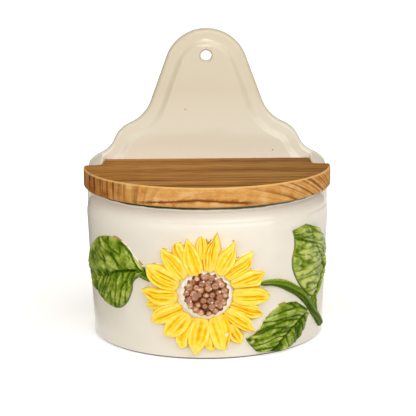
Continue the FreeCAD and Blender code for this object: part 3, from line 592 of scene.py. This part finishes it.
# Leaves
# Three leaves cut from rolled clay, laid on the wall and tooled with a midrib and wrinkled side veins, then
# painted green. Each has a middle line and an edge on either side, in places on the wall.
LEAF_ROWS = 76
LEAF_COLUMNS = 61
LEAF_THICKNESS = 1.5
LEAF_SWELL = 0.9
LEAF_EDGE_ROUND = 0.6
WRINKLE_SIZE = 4.4
CREASE_SIZE = 2.0
FINE_GRAIN = 2.4
WARP_SIZE = 9.0
TONE_SIZE = 6.0
WRINKLE_DEPTH = 1.1
RIB_HALF = 0.7
RIB_DEPTH = 0.8
FOLD_RISE = 0.7
DOT_RADIUS = 1.0
DOT_RIM = 2.2
LEAVES = {
    "leaf_left": {
        "middle": ((-36.8, 50.6), (-45, 50.1), (-53, 48.7), (-60.3, 46.9),
                   (-67, 43), (-77, 40.5), (-93, 42)),
        "one": ((-37.2, 52.6), (-44, 58.3), (-49, 63.5), (-57.5, 67.4),
                (-68, 66.9), (-79.5, 62.5), (-92, 52)),
        "other": ((-39.5, 48.2), (-45.6, 43.8), (-47.5, 37.8), (-52, 30),
                  (-60, 25.5), (-71.3, 27), (-86, 33)),
        "dark": 0.05, "fold": 2.0, "rib_end": 0.7, "lean": 0.8, "dots": (),
    },
    "leaf_upper_right": {
        "middle": ((73.3, 27.8), (79, 32.5), (84, 39.3), (87, 45.7), (78, 55.3), (72, 62.6), (64.2, 74)),
        "one": ((70.6, 28.9), (60.8, 37.3), (54.5, 47), (53.3, 54.4),
                (54.8, 61.9), (54, 68.5), (52.7, 71.8)),
        "other": ((76.4, 27.1), (83, 32.7), (89.3, 38.5), (92, 44.7), (92, 52.2), (88.5, 59.8), (77, 69.5)),
        "dark": -0.15, "fold": 0.8, "rib_end": 0.95, "lean": -0.2, "dots": (),
    },
    "leaf_lower_right": {
        "middle": ((67.4, 20.8), (59.3, 17.1), (53.8, 13.7), (49.1, 10.4),
                   (45.1, 7.2), (41.6, 3.9), (37.5, 1.9)),
        "one": ((67.2, 22.3), (55.2, 28.6), (42.9, 28.5), (34.3, 22.6),
                (29.3, 14.9), (22.8, 11.2), (29.6, 2.6)),
        "other": ((67.8, 19.2), (66.6, 14.8), (64.3, 9.9), (60, 5.9),
                  (54.3, 3.1), (48.4, 1.7), (44.6, 1.5)),
        "dark": 0.08, "fold": 2.0, "rib_end": 1.0, "lean": 0.8, "dots": ((23.9, 10.7), (27.6, 10.2)),
    },
}


def leaf(node, lines, number):
    """One leaf as a relief between its two edges, grooved along the middle and wrinkled to each side."""
    middle, one, other = (smooth_line(lines[side], LEAF_ROWS) for side in ("middle", "one", "other"))
    across = np.concatenate([[-1, -1], np.linspace(-1, 1, LEAF_COLUMNS), [1, 1]])
    margin = np.zeros(len(across))
    margin[[0, 1, -2, -1]] = (SIDE_SLOPE, SIDE_SLOPE / 3, SIDE_SLOPE / 3, SIDE_SLOPE)
    part, wide = np.meshgrid(np.linspace(0, 1, LEAF_ROWS), across, indexing="ij")
    half = np.where(wide[..., None] > 0, (one - middle)[:, None, :], (other - middle)[:, None, :])
    reach = np.linalg.norm(half, axis=-1)
    laid = middle[:, None, :] + half * (np.abs(wide) + margin[None, :] / np.maximum(reach, 0.8))[..., None]
    around = laid[..., 0]
    up = np.maximum(laid[..., 1], 0.4)

    warp = soft_noise(around, up, WARP_SIZE, number)
    fine = soft_noise(around, up, FINE_GRAIN, number + 5)
    tone = soft_noise(around, up, TONE_SIZE, number + 8)
    length = np.concatenate([[0], np.cumsum(np.linalg.norm(np.diff(middle, axis=0), axis=1))])[:, None]
    run = length - lines["lean"] * np.abs(wide) * reach + 1.2 * warp
    wrinkle = soft_noise(run, 0.3 * wide * reach + 9 * (wide > 0), WRINKLE_SIZE, number)
    crease = soft_noise(run, 0.5 * wide * reach, CREASE_SIZE, number + 3)
    along_rib = np.clip((lines["rib_end"] - part) / 0.15, 0, 1) * np.clip(part / 0.1, 0, 1)
    rib = np.exp(-(wide * reach / RIB_HALF) ** 2) * along_rib
    hood = np.clip((part - lines["fold"]) / 0.03, 0, 1) * (wide > 0)
    # Painted shade in a band just before the turned-over fold, darkening the paint and lowering the relief
    # there.
    under = bump_at(part, lines["fold"] - 0.015, 0.02) * np.clip(4 * wide, 0, 1)
    ridge_and_painted_light = np.clip(4.2 * np.abs(wrinkle) + 0.5 * np.abs(crease), 0, 1) * (1 - rib)
    ridge_and_painted_light = ridge_and_painted_light * (0.72 + 0.5 * tone + 0.25 * crease)
    ridge_and_painted_light = np.clip(ridge_and_painted_light - under - 0.12 * hood, 0, 1)
    for dot_around, dot_up in lines["dots"]:
        apart = np.hypot(around - dot_around, up - dot_up)
        rim = 0.25 * bump_at(apart, DOT_RIM, DOT_RADIUS)
        ridge_and_painted_light = np.clip(ridge_and_painted_light + rim, 0, 1) * (1 - bump_at(apart, 0, DOT_RADIUS))
    swell = np.sin(math.pi * np.clip(np.abs(wide), 0, 1)) ** 0.8
    top = LEAF_THICKNESS + LEAF_SWELL * swell + FOLD_RISE * hood
    top = top + WRINKLE_DEPTH * (ridge_and_painted_light - 0.5) - RIB_DEPTH * rib
    top = top + 0.15 * fine + 0.3 * warp
    from_edge = np.clip((1 - np.abs(wide)) * reach / LEAF_EDGE_ROUND, 0, 1)
    out = top * (0.65 + 0.35 * np.sqrt(1 - (1 - from_edge) ** 2))
    out[:, [1, -2]] = 0.45 * top[:, [1, -2]]
    out[:, [0, -1]] = -SINK
    out[[0, -1], :] = -SINK
    bare = np.zeros_like(part)
    bare[:, [0, 1, -2, -1]] = 1
    marks = {"along": part * 5, "across": wide * 2 + number, "ridge_and_painted_light": ridge_and_painted_light - lines["dark"], "bare": bare}
    piece = relief(f"{node}_relief", around, up, out, marks)
    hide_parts(node)
    return piece


for number, (node, lines) in enumerate(LEAVES.items(), start=1):
    leaf(node, lines, number).data.materials.append(green_glaze)


# Hinge pins
# Two short steel pins pressed into the ends of the lid's tongue, which turn in the ears' holes.
# They are cut from drawn wire.
DRAWN_LINE = (6.25, 0.3125, 0.3125)

# Drawn steel: mid grey and satin, with faint lines along the pin from the die.
drawn_steel, tree, shader = new_material("drawn_steel", 0.32)
shader.inputs["Metallic"].default_value = 1.0
spot = add_node(tree, "TexCoord").outputs["Object"]
drawn = add_node(tree, "Mapping", {"Vector": spot, "Scale": tuple(1 / (size * MM) for size in DRAWN_LINE)})
scratch = add_node(tree, "TexNoise", {"Vector": drawn.outputs[0], "Scale": 1.0, "Detail": 2.0})
steel = add_node(tree, "ValToRGB", {"Fac": scratch.outputs["Fac"]},
                 stops=((0.3, "#A9ABAD"), (0.7, "#C9CBCC")))
tree.links.new(steel.outputs["Color"], shader.inputs["Base Color"])
for node in ("hinge_pin_left", "hinge_pin_right"):
    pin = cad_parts[node]
    pin.data.materials.clear()
    pin.data.materials.append(drawn_steel)


# Lid board
# Half-round board sawn from oiled oak with its grain from side to side, sanded, with broken edges. Its top
# has darkened with use, and a dark vein runs along the front edge. Grain sizes are along, across and through.
GRAIN = (166.7, 5.263, 62.5)
EDGE_GRAIN = (142.9, 2.326, 50.0)
PORES = (18.18, 1.111, 16.67)
MOTTLE = (9.92, 9.92, 5.556)
GRAIN_LEAN = 1.6
LEAN_HALF = 45.0
TONE_HALF = 60.0
STRIPES_FROM = 20.0
STRIPES_TO = 55.0
DARK_END_FROM = -40.0
DARK_END_TO = -66.0
KNOT_X = -5.0
VEIN_UP = 4.4
VEIN_FALL = 0.085
VEIN_REACH = 38.0
VEIN_FADE = 11.0
VEIN_HALF = 2.8
VEIN_CORE = 0.2

# Oiled oak: honey brown and nearly matt. The top is streaked with dark grain and short pores, and the edge is
# mottled, with grain lines that lean over at its ends. The arris is paler where it turns up to the top:
# rubbed wood and a painted highlight.
oiled_oak, tree, shader = new_material("oiled_oak", 0.6, 1.45)
shader.inputs["Specular IOR Level"].default_value = 0.1
spot = add_node(tree, "TexCoord").outputs["Object"]
place = add_node(tree, "SeparateXYZ", {"Vector": spot})
facing = add_node(tree, "SeparateXYZ", {"Vector": add_node(tree, "TexCoord").outputs["Normal"]})
lean = add_node(tree, "MapRange", {"Value": place.outputs["X"], "From Min": -LEAN_HALF * MM,
                                   "From Max": LEAN_HALF * MM, "To Max": GRAIN_LEAN})
below = add_node(tree, "Math", {0: place.outputs["Z"], 1: lid_high.z}, operation="SUBTRACT")
leaned = add_node(tree, "Math", {0: lean.outputs[0], 1: below.outputs[0], 2: place.outputs["Y"]},
                  operation="MULTIPLY_ADD")
across = add_node(tree, "CombineXYZ", {"X": place.outputs["X"], "Y": leaned.outputs[0],
                                       "Z": place.outputs["Z"]})
sawn = add_node(tree, "Mapping", {"Vector": across.outputs[0],
                                  "Scale": tuple(1 / (size * MM) for size in GRAIN)})
grain = add_node(tree, "TexNoise", {"Vector": sawn.outputs[0], "Scale": 1.0, "Detail": 5.0, "Roughness": 0.7})
top_colour = add_node(tree, "ValToRGB", {"Fac": grain.outputs["Fac"]},
                      stops=((0.34, "#744414"), (0.46, "#B4782A"), (0.55, "#C68A3A"), (0.66, "#D69E5A")))
short = add_node(tree, "Mapping", {"Vector": spot, "Scale": tuple(1 / (size * MM) for size in PORES)})
pores = add_node(tree, "TexNoise", {"Vector": short.outputs[0], "Scale": 1.0, "Detail": 2.0})
pored = add_node(tree, "ValToRGB", {"Fac": pores.outputs["Fac"]}, stops=((0.36, "#A87C58"), (0.5, "#FFFFFF")))
top_colour = add_node(tree, "Mix", {0: 0.7, 6: top_colour.outputs["Color"], 7: pored.outputs["Color"]},
                      data_type="RGBA", blend_type="MULTIPLY")
tone = add_node(tree, "MapRange", {"Value": place.outputs["X"], "From Min": -TONE_HALF * MM,
                                   "From Max": TONE_HALF * MM, "To Min": 0.9, "To Max": 0.7})
top_colour = add_node(tree, "Mix", {0: 1.0, 6: top_colour.outputs[2], 7: tone.outputs[0]},
                      data_type="RGBA", blend_type="MULTIPLY")

mottle = add_node(tree, "Mapping", {"Vector": spot, "Scale": tuple(1 / (size * MM) for size in MOTTLE)})
blotch = add_node(tree, "TexNoise", {"Vector": mottle.outputs[0], "Scale": 1.0, "Detail": 6.0,
                                     "Roughness": 0.7})
honey = add_node(tree, "ValToRGB", {"Fac": blotch.outputs["Fac"]},
                 stops=((0.3, "#B06A28"), (0.42, "#CE934C"), (0.54, "#D8A25C"), (0.68, "#E4BA82")))
fine_sawn = add_node(tree, "Mapping", {"Vector": across.outputs[0],
                                       "Scale": tuple(1 / (size * MM) for size in EDGE_GRAIN)})
fine_grain = add_node(tree, "TexNoise", {"Vector": fine_sawn.outputs[0], "Scale": 1.0, "Detail": 3.0})
stripes = add_node(tree, "ValToRGB", {"Fac": fine_grain.outputs["Fac"]},
                   stops=((0.38, "#8E5E34"), (0.52, "#FFFFFF")))
off_middle = add_node(tree, "Math", {0: place.outputs["X"]}, operation="ABSOLUTE")
striped = add_node(tree, "MapRange", {"Value": off_middle.outputs[0], "From Min": STRIPES_FROM * MM,
                                      "From Max": STRIPES_TO * MM, "To Min": 0.15, "To Max": 0.85})
edge_colour = add_node(tree, "Mix", {0: striped.outputs[0], 6: honey.outputs["Color"],
                                     7: stripes.outputs["Color"]},
                       data_type="RGBA", blend_type="MULTIPLY")
to_left = add_node(tree, "MapRange", {"Value": place.outputs["X"], "From Min": DARK_END_FROM * MM,
                                      "From Max": DARK_END_TO * MM, "To Max": 0.7})
edge_colour = add_node(tree, "Mix", {0: to_left.outputs[0], 6: edge_colour.outputs[2], 7: colour("#C29C72")},
                       data_type="RGBA", blend_type="MULTIPLY")

from_knot = add_node(tree, "Math", {0: place.outputs["X"], 1: KNOT_X * MM}, operation="SUBTRACT")
from_knot = add_node(tree, "Math", {0: from_knot.outputs[0]}, operation="ABSOLUTE")
vein_z = add_node(tree, "Math", {0: from_knot.outputs[0], 1: -VEIN_FALL, 2: lid_low.z + VEIN_UP * MM},
                  operation="MULTIPLY_ADD")
from_vein = add_node(tree, "Math", {0: place.outputs["Z"], 1: vein_z.outputs[0]}, operation="SUBTRACT")
from_vein = add_node(tree, "Math", {0: from_vein.outputs[0]}, operation="ABSOLUTE")
ragged = add_node(tree, "MapRange", {"Value": blotch.outputs["Fac"], "From Min": 0.3, "From Max": 0.7,
                                     "To Min": VEIN_HALF * MM, "To Max": VEIN_CORE * MM})
vein = add_node(tree, "MapRange", {"Value": from_vein.outputs[0], "From Min": ragged.outputs[0],
                                   "From Max": VEIN_CORE * MM})
vein_run = add_node(tree, "MapRange", {"Value": from_knot.outputs[0], "From Min": VEIN_REACH * MM,
                                       "From Max": (VEIN_REACH - VEIN_FADE) * MM})
vein = add_node(tree, "Math", {0: vein.outputs[0], 1: vein_run.outputs[0]}, operation="MULTIPLY")
in_front = add_node(tree, "MapRange", {"Value": facing.outputs["Y"], "From Min": -0.5, "From Max": -0.8})
vein = add_node(tree, "Math", {0: vein.outputs[0], 1: in_front.outputs[0]}, operation="MULTIPLY")
edge_colour = add_node(tree, "Mix", {0: vein.outputs[0], 6: edge_colour.outputs[2], 7: colour("#7C3A10")},
                       data_type="RGBA")
# Paler where the edge turns up to the top: rubbed wood and a painted highlight.
turned = add_node(tree, "MapRange", {"Value": facing.outputs["Z"], "From Min": 0.15, "From Max": 0.4,
                                     "To Max": 0.7})
arris = add_node(tree, "Mix", {0: turned.outputs[0], 6: edge_colour.outputs[2], 7: colour("#E8BC78")},
                 data_type="RGBA")
flat = add_node(tree, "Math", {0: facing.outputs["Z"]}, operation="ABSOLUTE")
on_face = add_node(tree, "MapRange", {"Value": flat.outputs[0], "From Min": 0.86, "From Max": 0.97})
board_colour = add_node(tree, "Mix", {0: on_face.outputs[0], 6: arris.outputs[2], 7: top_colour.outputs[2]},
                        data_type="RGBA")
tree.links.new(board_colour.outputs[2], shader.inputs["Base Color"])
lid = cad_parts["lid_board"]
lid.data.materials.clear()
lid.data.materials.append(oiled_oak)


# Studio
# White paper on a table in a pale room. A large softbox and a thin strip light stand at the upper right, a
# weaker pair at the left, and one softbox hangs above. The camera looks down a little from the front.
# Sizes are in metres here, but in millimetres for the camera and the CARD values, and power is in watts.
FLOOR_REACH = 3.0
SHADOW_REACH = 0.1
WHITE_FROM = 0.5
CARD_FROM = 76.0
CARD_FULL = 100.0
ROOM_STRENGTH = 0.36
LAMP_TARGET = (0, -0.02, 0.07)
LAMPS = (
    ("key_softbox", (0.45, -0.85, 0.62), (1.5, 1.0), 5.45),
    ("key_strip", (0.42, -0.8, 0.6), (1.2, 0.045), 1.8),
    ("fill_softbox", (-0.7, -0.78, 0.42), (0.8, 0.7), 1.5),
    ("fill_strip", (-0.66, -0.74, 0.42), (0.6, 0.045), 1.2),
    ("top_softbox", (0.1, -0.4, 1.0), (1.0, 0.3), 2.0),
)
CAMERA_SENSOR = 36.0
CAMERA_LENS = 142.7
CAMERA_SHIFT = (0.0017, -0.0178)
CAMERA_BACK = 974.1
CAMERA_UP = 281.5
CAMERA_TILT = 11.77
CAMERA_ROLL = -0.5
floor_mesh = bpy.data.meshes.new("floor")
floor_mesh.from_pydata([(-FLOOR_REACH, -FLOOR_REACH, 0), (FLOOR_REACH, -FLOOR_REACH, 0),
                        (FLOOR_REACH, FLOOR_REACH, 0), (-FLOOR_REACH, FLOOR_REACH, 0)], [], [(0, 1, 2, 3)])
floor = bpy.data.objects.new("floor", floor_mesh)
bpy.context.scene.collection.objects.link(floor)

# White paper: matt, and as pale as the room to the camera, but less so near the pot, where its shadow falls.
# Beside the pot, it mirrors darker in the glaze, so that the pot's sides keep their edges.
white_paper, tree, shader = new_material("white_paper", 0.9)
light_path = add_node(tree, "LightPath")
spot = add_node(tree, "TexCoord").outputs["Object"]
place = add_node(tree, "SeparateXYZ", {"Vector": spot})
from_middle = add_node(tree, "Math", {0: place.outputs["X"]}, operation="ABSOLUTE")
outside = add_node(tree, "MapRange", {"Value": from_middle.outputs[0], "From Min": CARD_FROM * MM,
                                      "From Max": CARD_FULL * MM})
shaded = add_node(tree, "MapRange", {"Value": place.outputs["X"], "From Min": -1 * MM, "From Max": 1 * MM,
                                     "To Min": 1.0, "To Max": 0.4})
beside = add_node(tree, "Math", {0: outside.outputs[0], 1: shaded.outputs[0]}, operation="MULTIPLY")
card = add_node(tree, "Math", {0: beside.outputs[0], 1: light_path.outputs["Is Glossy Ray"]},
                operation="MULTIPLY")
paper = add_node(tree, "Mix", {0: card.outputs[0], 6: colour("#E7E7E7"), 7: colour("#A4A4A4")},
                 data_type="RGBA")
tree.links.new(paper.outputs[2], shader.inputs["Base Color"])
mirrored = add_node(tree, "Math", {0: light_path.outputs["Is Glossy Ray"], 1: card.outputs[0]},
                    operation="SUBTRACT")
seen = add_node(tree, "Math", {0: light_path.outputs["Is Camera Ray"],
                               1: light_path.outputs["Is Transmission Ray"]}, operation="ADD", use_clamp=True)
seen = add_node(tree, "Math", {0: seen.outputs[0], 1: mirrored.outputs[0]}, operation="ADD", use_clamp=True)
away = add_node(tree, "VectorMath", {0: spot}, operation="LENGTH")
paler = add_node(tree, "MapRange", {"Value": away.outputs["Value"], "From Min": SHADOW_REACH,
                                    "From Max": WHITE_FROM, "To Min": 0.5, "To Max": 1.0})
glow = add_node(tree, "Math", {0: seen.outputs[0], 1: paler.outputs[0]}, operation="MULTIPLY")
shader.inputs["Emission Color"].default_value = colour("#FFFFFF")
tree.links.new(glow.outputs[0], shader.inputs["Emission Strength"])
floor.data.materials.append(white_paper)

# The room is a weak warm light on the object, and white to the camera and in what mirrors its far wall.
world = bpy.data.worlds.new("studio")
bpy.context.scene.world = world
world.use_nodes = True
tree = world.node_tree
light_path = add_node(tree, "LightPath")
heading = add_node(tree, "SeparateXYZ", {"Vector": add_node(tree, "TexCoord").outputs["Generated"]})
behind = add_node(tree, "MapRange", {"Value": heading.outputs["Y"], "From Min": 0.975, "From Max": 0.995})
mirrored = add_node(tree, "Math", {0: light_path.outputs["Is Glossy Ray"], 1: behind.outputs[0]},
                    operation="MULTIPLY")
seen = add_node(tree, "Math", {0: light_path.outputs["Is Camera Ray"],
                               1: light_path.outputs["Is Transmission Ray"]}, operation="ADD", use_clamp=True)
seen = add_node(tree, "Math", {0: seen.outputs[0], 1: mirrored.outputs[0]}, operation="ADD", use_clamp=True)
strength = add_node(tree, "MapRange", {"Value": seen.outputs[0], "To Min": ROOM_STRENGTH, "To Max": 1.0})
room = add_node(tree, "Mix", {0: seen.outputs[0], 6: colour("#FFF5E2"), 7: colour("#FFFFFF")},
                data_type="RGBA")
tree.links.new(room.outputs[2], tree.nodes["Background"].inputs["Color"])
tree.links.new(strength.outputs[0], tree.nodes["Background"].inputs["Strength"])

for name, stand, size, power in LAMPS:
    data = bpy.data.lights.new(name, "AREA")
    data.shape = "RECTANGLE"
    data.size, data.size_y = size
    data.energy = power
    lamp = bpy.data.objects.new(name, data)
    lamp.location = stand
    lamp.rotation_euler = (Vector(LAMP_TARGET) - Vector(stand)).to_track_quat("-Z", "Y").to_euler()
    bpy.context.scene.collection.objects.link(lamp)

camera_data = bpy.data.cameras.new("camera")
camera_data.lens = CAMERA_LENS
camera_data.sensor_width = CAMERA_SENSOR
camera_data.shift_x, camera_data.shift_y = CAMERA_SHIFT
camera = bpy.data.objects.new("camera", camera_data)
camera.location = (0, AXIS_Y - CAMERA_BACK * MM, CAMERA_UP * MM)
tilt = Matrix.Rotation(math.radians(90 - CAMERA_TILT), 3, "X")
roll = Matrix.Rotation(math.radians(CAMERA_ROLL), 3, "Z")
camera.rotation_euler = (tilt @ roll).to_euler()
bpy.context.scene.collection.objects.link(camera)
bpy.context.scene.camera = camera
bpy.context.scene.view_settings.view_transform = "Standard"
